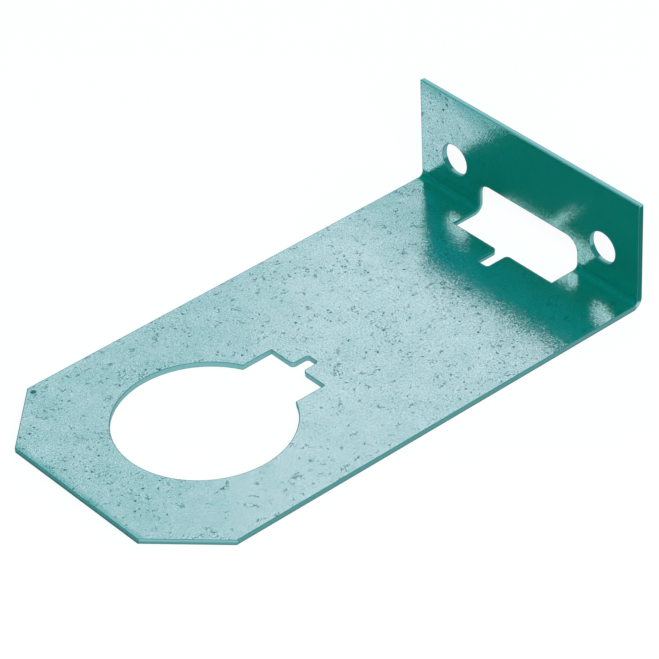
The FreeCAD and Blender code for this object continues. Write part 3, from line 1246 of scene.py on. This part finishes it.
@dataclass(frozen=True)
class CutFinish:
    """The punched walls, each with its own colours and a ragged torn line low on it.

    Each wall's colours hold the steel's own dark teal and also painted light and painted shade: the
    cut corners and the side of the fold are painted lighter, the flange's sides and the fixing holes'
    lower left and foot darker, with painted light on the foot towards the outside face. The flange's
    top is lighter towards its outside face.
    """

    sides: Wall = Wall((0.075, 0.245, 0.245), (0.095, 0.245, 0.245))
    post: Wall = Wall((0.155, 0.355, 0.37), (0.185, 0.385, 0.40))
    front: Wall = Wall((0.06, 0.25, 0.25), (0.035, 0.16, 0.16))
    # The cut corners' walls, painted lighter: painted light.
    corners: Wall = Wall((0.20, 0.42, 0.44), (0.09, 0.24, 0.25))
    top: Wall = Wall((0.08, 0.31, 0.31), (0.235, 0.485, 0.50), 0.36, 0.12)
    # The flange's side walls, painted dark: painted shade.
    upright_shade: Wall = Wall((0.0, 0.118, 0.098), (0.004, 0.125, 0.11))
    fixing: Wall = Wall((0.15, 0.36, 0.38), (0.16, 0.36, 0.38))
    # The fixing holes' lower left, painted dark: painted shade.
    fixing_low_shade: Wall = Wall((0.008, 0.165, 0.16), (0.016, 0.16, 0.15))
    # Their foot, dark by the inside face and light by the outside one: painted shade and light.
    fixing_foot_shading: Wall = Wall((0.008, 0.155, 0.14), (0.19, 0.44, 0.43), 0.40, 0.20)
    # The side of the fold, painted lighter: a painted highlight.
    knuckle_highlight: Wall = Wall((0.20, 0.38, 0.37), (0.32, 0.50, 0.49))
    window: Wall = Wall((0.005, 0.16, 0.14), (0.135, 0.37, 0.35), 0.42, 0.15)
    # Where the holes' painted shade at lower left and foot ends, in radii, and the fold's highlight, from its
    # middle.
    low_span: Span = (-0.40, -0.26)
    foot_span: Span = (-0.95, -0.88)
    knuckle_span: Span = (0.15, 0.45)
    # Share of its colour that a torn wall keeps, depth of the tear, and how far that wanders.
    torn: float = 0.8
    torn_span: Span = (0.67, 0.77)
    torn_wander: float = 0.25
    # The dark flecks on the walls, and the share of their places that have one.
    flecks: Flecks = Flecks(1.5 * MM, 0.4, 0.5)
    fleck_share: float = 0.6
    # How metallic and how rough the smooth part and the torn part are.
    metal: Span = (0.3, 0.1)
    roughness: Span = (0.4, 0.65)
    # Width and height of the walls' grains.
    grain_size: float = 0.4 * MM
    grain_depth: float = 0.02 * MM
    # How near an outline a point has to be to lie on its wall.
    reach: float = 0.3 * MM

    def material(self, effects: Effects, sizes: SheetSizes) -> bpy.types.Material:
        """Builds the material.

        Args:
            effects: The shared node groups.
            sizes: Sizes of the sheet, which place the walls.

        Returns:
            The material.
        """
        graph = Graph.blank(bpy.data.materials.new("cut_edge"))
        spot = Spot.read(graph, effects, sizes)
        grain = graph.noise(spot.place, self.grain_size, 2.0, 0.6)
        wander = graph.math("SUBTRACT", grain, 0.5)
        ragged = graph.math("MULTIPLY_ADD", wander, self.torn_wander, spot.measures[Way.DEPTH])
        dark = graph.most(graph.ramp(ragged, *self.torn_span), self.flecks.mask(spot, self.fleck_share))
        shader = graph.add("ShaderNodeBsdfPrincipled", {
            "Base Color": graph.scaled(self.colour(spot, sizes), graph.between(dark, 1.0, self.torn)),
            "Metallic": graph.between(dark, *self.metal),
            "Roughness": graph.between(dark, *self.roughness),
            "Specular IOR Level": 0.0,
            "Normal": graph.bump(grain, self.grain_depth),
        })
        graph.add("ShaderNodeOutputMaterial", {"Surface": shader.outputs[0]})
        return graph.owner

    def colour(self, spot: Spot, sizes: SheetSizes) -> Socket:
        """Colours each wall by where it lies on the sheet.

        Args:
            spot: Where it is read.
            sizes: Sizes of the sheet.

        Returns:
            The colour's socket.
        """
        graph = spot.graph
        above, below = partial(graph.math, "GREATER_THAN"), partial(graph.math, "LESS_THAN")
        along, across, depth = (spot.measures[way] for way in (Way.ALONG, Way.ACROSS, Way.DEPTH))
        side = graph.math("ABSOLUTE", across)
        slant = graph.math("SUBTRACT", side, along)
        on_side = above(side, sizes.half_width - self.reach)
        past_fold = graph.ramp(along, sizes.bend_from, sizes.bend_to)
        off_middle = graph.math("ABSOLUTE", graph.math("SUBTRACT", past_fold, 0.5))
        on_knuckle_highlight = graph.ramp(off_middle, *self.knuckle_span, 1.0, 0.0)
        past_slot = above(along, sizes.window_edge - sizes.window_slot - self.reach)
        hole = graph.product(graph.math("SIGN", across), sizes.fixing_side)
        left = graph.math("DIVIDE", graph.math("SUBTRACT", across, hole), sizes.fixing_radius)
        height = graph.math("SUBTRACT", along, sizes.up_flange(sizes.fixing_height))
        up = graph.math("DIVIDE", height, sizes.fixing_radius)
        low_left_shade = graph.ramp(graph.product(left, up), *self.low_span, 1.0, 0.0)
        foot = graph.ramp(up, *self.foot_span, 1.0, 0.0)
        # Walls by where they lie; their lighter and darker colours carry painted light and painted shade.
        walls = [
            (below(side, sizes.hole_radius + self.reach), self.post),
            (past_fold, self.fixing),
            (graph.product(past_fold, low_left_shade, above(left, 0.0)), self.fixing_low_shade),
            (graph.product(past_fold, foot), self.fixing_foot_shading),
            (graph.product(on_side, past_fold), self.upright_shade),
            (graph.product(on_side, on_knuckle_highlight), self.knuckle_highlight),
            (graph.product(below(side, sizes.window_half + self.reach), past_slot), self.window),
            (above(along, sizes.top - self.reach), self.top),
            (above(slant, sizes.half_width - sizes.shoulder - self.reach), self.corners),
            (below(along, sizes.free_end + self.reach), self.front),
        ]
        colour = self.sides.shade(graph, depth)
        for mask, wall in walls:
            colour = graph.blend(mask, colour, wall.shade(graph, depth))
        return colour


@dataclass(frozen=True)
class Studio:
    """The pale floor, a soft white dome with one dim side, a soft lamp and the camera."""

    # Half the floor's width, its depth under the sheet, its grey, and the white that is seen.
    floor_half: float = 12.0
    floor_drop: float = 0.03 * MM
    floor_colour: float = 0.95
    floor_fill: float = 0.85
    # The dome's dim side, a teal card, and the angles from its middle, in degrees, at which
    # it is dimmest and past which the dome is white. Its teal ends further in by the tint.
    dim_towards: Place = (-0.60, 0.65, 0.45)
    dim_colour: Colour = (0.0, 0.05, 0.035)
    dim_inner: float = 46.0
    dim_outer: float = 60.0
    dim_tint: float = 19.0
    # Place of the lamp, its width, and its power in watts.
    lamp_from: Place = (-0.7, -0.9, 1.1)
    lamp_width: float = 0.8
    lamp_power: float = 14.0
    # Point that the camera looks at, its distance, its angles in degrees, 0 looking along +Y,
    # and its focal length on a 36 mm frame, in millimetres.
    target: Place = (12.20 * MM, 7.70 * MM, 0.0)
    distance: float = 915.14 * MM
    azimuth: float = -39.784
    elevation: float = 36.992
    roll: float = -2.606
    lens: float = 199.27

    def floor(self) -> bpy.types.Object:
        """Lays the floor, a square that shows white to the camera and still takes a shadow.

        Returns:
            The floor's object.
        """
        sign = np.array([[-1, -1], [1, -1], [1, 1], [-1, 1]]) * self.floor_half
        points = np.column_stack([sign, np.full(4, -self.floor_drop)])
        mesh = bpy.data.meshes.new("floor")
        mesh.from_pydata(points, [], [(0, 1, 2, 3)])
        graph = Graph.blank(bpy.data.materials.new("pale_floor"))
        path = graph.add("ShaderNodeLightPath").outputs
        seen = graph.most(*(path[f"Is {ray} Ray"] for ray in ("Camera", "Glossy", "Transmission")))
        matte = graph.add("ShaderNodeBsdfDiffuse", {"Color": (*[self.floor_colour] * 3, 1.0)})
        white = graph.add("ShaderNodeEmission", {"Color": (1.0, 1.0, 1.0, 1.0), "Strength": 1.0})
        mixed = graph.add("ShaderNodeMixShader", {
            0: graph.product(seen, self.floor_fill),
            1: matte.outputs[0],
            2: white.outputs[0],
        })
        graph.add("ShaderNodeOutputMaterial", {"Surface": mixed.outputs[0]})
        mesh.materials.append(graph.owner)
        return add_object("floor", mesh)

    def dome(self) -> None:
        """Lights the scene from a white dome that eases to a dim patch on one side."""
        graph = Graph.blank(bpy.data.worlds.new("studio_dome"))
        facing = graph.add("ShaderNodeTexCoord").outputs["Generated"]
        dot = graph.measure("DOT_PRODUCT", facing, Vector(self.dim_towards).normalized())
        levels = []
        for level, tint in zip(self.dim_colour, (0.0, self.dim_tint, self.dim_tint)):
            outer = math.cos(math.radians(self.dim_outer - tint))
            inner = math.cos(math.radians(self.dim_inner - tint))
            levels.append(graph.ramp(dot, outer, inner, 1.0, level))
        colour = graph.add("ShaderNodeCombineColor", dict(enumerate(levels))).outputs[0]
        light = graph.add("ShaderNodeBackground", {"Color": colour, "Strength": 1.0})
        graph.add("ShaderNodeOutputWorld", {"Surface": light.outputs[0]})
        bpy.context.scene.world = graph.owner

    def lamp(self) -> bpy.types.Object:
        """Hangs one wide soft lamp on the camera's side.

        Returns:
            The lamp's object.
        """
        data = bpy.data.lights.new("soft_lamp", "AREA")
        data.size = self.lamp_width
        data.energy = self.lamp_power
        lamp = add_object("soft_lamp", data)
        place = Vector(self.lamp_from)
        facing = (-place).to_track_quat("-Z", "Y").to_matrix()
        lamp.matrix_world = Matrix.Translation(place) @ facing.to_4x4()
        return lamp

    def camera(self) -> bpy.types.Object:
        """Stands the camera on its angles round the target and tilts it by its roll.

        Returns:
            The camera's object.
        """
        turn, lift = math.radians(self.azimuth), math.radians(self.elevation)
        back = Vector((
            math.sin(turn) * math.cos(lift),
            -math.cos(turn) * math.cos(lift),
            math.sin(lift),
        ))
        place = Vector(self.target) + back * self.distance
        facing = (-back).to_track_quat("-Z", "Y").to_matrix()
        facing = facing @ Matrix.Rotation(math.radians(self.roll), 3, "Z")
        data = bpy.data.cameras.new("camera")
        data.lens = self.lens
        camera = add_object("camera", data)
        camera.matrix_world = Matrix.Translation(place) @ facing.to_4x4()
        bpy.context.scene.camera = camera
        return camera


def main() -> None:
    """Builds the sheet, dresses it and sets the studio."""
    logging.basicConfig(level=logging.INFO, format="%(name)s: %(message)s")
    bpy.context.scene.view_settings.view_transform = "Standard"
    effects = Effects.make()
    sizes = SheetSizes.from_frame(frame["record"])
    materials = {
        Finish.ZINC: ZincFinish().material(effects, sizes),
        Finish.CUT: CutFinish().material(effects, sizes),
    }
    sheet = FoldedSheet(sizes, PunchedEdge()).build(materials)
    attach(sheet, BODY)
    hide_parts(NODE)
    studio = Studio()
    studio.floor()
    studio.dome()
    studio.lamp()
    studio.camera()


if __name__ == "__main__":
    main()
